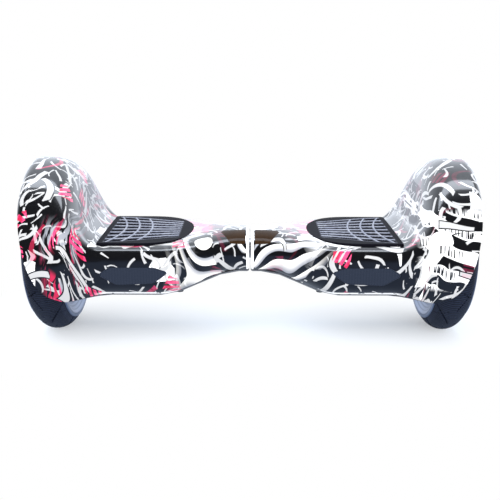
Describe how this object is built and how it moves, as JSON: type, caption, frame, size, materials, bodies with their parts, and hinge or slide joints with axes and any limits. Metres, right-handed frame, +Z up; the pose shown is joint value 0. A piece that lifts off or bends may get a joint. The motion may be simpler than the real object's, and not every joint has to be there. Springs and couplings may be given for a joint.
{
  "type": "self balancing board",
  "caption": "Self balancing board whose halves twist about a central pivot, with hub motor wheels, wheel arches, smoked lamps and ribbed foot mats.",
  "frame": {"origin": "on the ground, midway between the wheels", "axes": "+X along the axles to the half with the charge socket, -Y the front, +Z up"},
  "size_m": [0.6384, 0.2678, 0.2613],
  "materials": {
    "printed_shell": null,
    "black_plastic": "satin moulded black",
    "rubber_mat": "ribbed, dull",
    "tyre_rubber": "dull black with a grooved tread",
    "rim_alloy": "silver, satin",
    "cast_alloy": "as cast",
    "steel": "turned or plated",
    "copper": "wound core, coppery",
    "smoked_lens": "smoked, polished",
    "circuit_board": "green solder mask",
    "battery_wrap": "blue film over metal cells",
    "bronze": "turned"
  },
  "bodies": {
    "left_half": {"axle_clamp_left": "cast_alloy", "axle_left": "steel", "clamp_screw_a_left": "steel", "clamp_screw_b_left": "steel", "frame_left": "cast_alloy", "indicator_window_left": "smoked_lens", "lamp_board_left": "circuit_board", "lamp_lens_left": "smoked_lens", "lower_shell_left": "black_plastic", "motor_stator_left": "copper", "sensor_board_left": "circuit_board", "shell_screw_a_left": "steel", "shell_screw_b_left": "steel", "shell_screw_c_left": "steel", "upper_shell_left": "printed_shell", "wheel_bulkhead_left": "black_plastic", "pivot_tube": "steel", "pivot_liner": "cast_alloy", "retaining_ring": "steel", "stop_pin": "steel", "battery_pack": "battery_wrap"},
    "right_half": {"axle_clamp_right": "cast_alloy", "axle_right": "steel", "clamp_screw_a_right": "steel", "clamp_screw_b_right": "steel", "frame_right": "cast_alloy", "indicator_window_right": "smoked_lens", "lamp_board_right": "circuit_board", "lamp_lens_right": "smoked_lens", "lower_shell_right": "black_plastic", "motor_stator_right": "copper", "sensor_board_right": "circuit_board", "shell_screw_a_right": "steel", "shell_screw_b_right": "steel", "shell_screw_c_right": "steel", "upper_shell_right": "printed_shell", "wheel_bulkhead_right": "black_plastic", "pivot_bush_near": "bronze", "pivot_bush_far": "bronze", "main_board": "circuit_board", "charge_socket": "black_plastic"},
    "wheel_left": {"rim_left": "rim_alloy", "tyre_left": "tyre_rubber", "motor_cover_left": "rim_alloy", "hub_cap_left": "rim_alloy", "magnet_ring_left": "steel", "bearing_inner_left": "steel", "bearing_outer_left": "steel"},
    "wheel_right": {"rim_right": "rim_alloy", "tyre_right": "tyre_rubber", "motor_cover_right": "rim_alloy", "hub_cap_right": "rim_alloy", "magnet_ring_right": "steel", "bearing_inner_right": "steel", "bearing_outer_right": "steel"},
    "mat_left": {"foot_mat_left": "rubber_mat"},
    "mat_right": {"foot_mat_right": "rubber_mat"},
    "button": {"power_button": "black_plastic"},
    "socket_cap": {"charge_cap": "rubber_mat"}
  },
  "joints": [
    {"name": "board_twist", "type": "hinge", "parent": "left_half", "child": "right_half", "pos_m": [0, 0, 0.122], "axis": [1, 0, 0], "range_deg": [-12, 12]},
    {"name": "wheel_left_spin", "type": "hinge", "parent": "left_half", "child": "wheel_left", "pos_m": [-0.29, 0, 0.127], "axis": [1, 0, 0], "continuous": true},
    {"name": "wheel_right_spin", "type": "hinge", "parent": "right_half", "child": "wheel_right", "pos_m": [0.29, 0, 0.127], "axis": [1, 0, 0], "continuous": true},
    {"name": "mat_left_press", "type": "slide", "parent": "left_half", "child": "mat_left", "axis": [0, 0, 1], "range_m": [-0.0015, 0], "stiffness_N_per_m": 4000, "springref_m": 0.001},
    {"name": "mat_right_press", "type": "slide", "parent": "right_half", "child": "mat_right", "axis": [0, 0, 1], "range_m": [-0.0015, 0], "stiffness_N_per_m": 4000, "springref_m": 0.001},
    {"name": "power_button_press", "type": "slide", "parent": "right_half", "child": "button", "axis": [0, -1, 0], "range_m": [0, 0.0015], "stiffness_N_per_m": 800, "springref_m": -0.0008},
    {"name": "charge_cap_open", "type": "hinge", "parent": "right_half", "child": "socket_cap", "pos_m": [0.178, 0.1043, 0.1285], "axis": [1, 0, 0], "range_deg": [0, 90]}
  ]
}
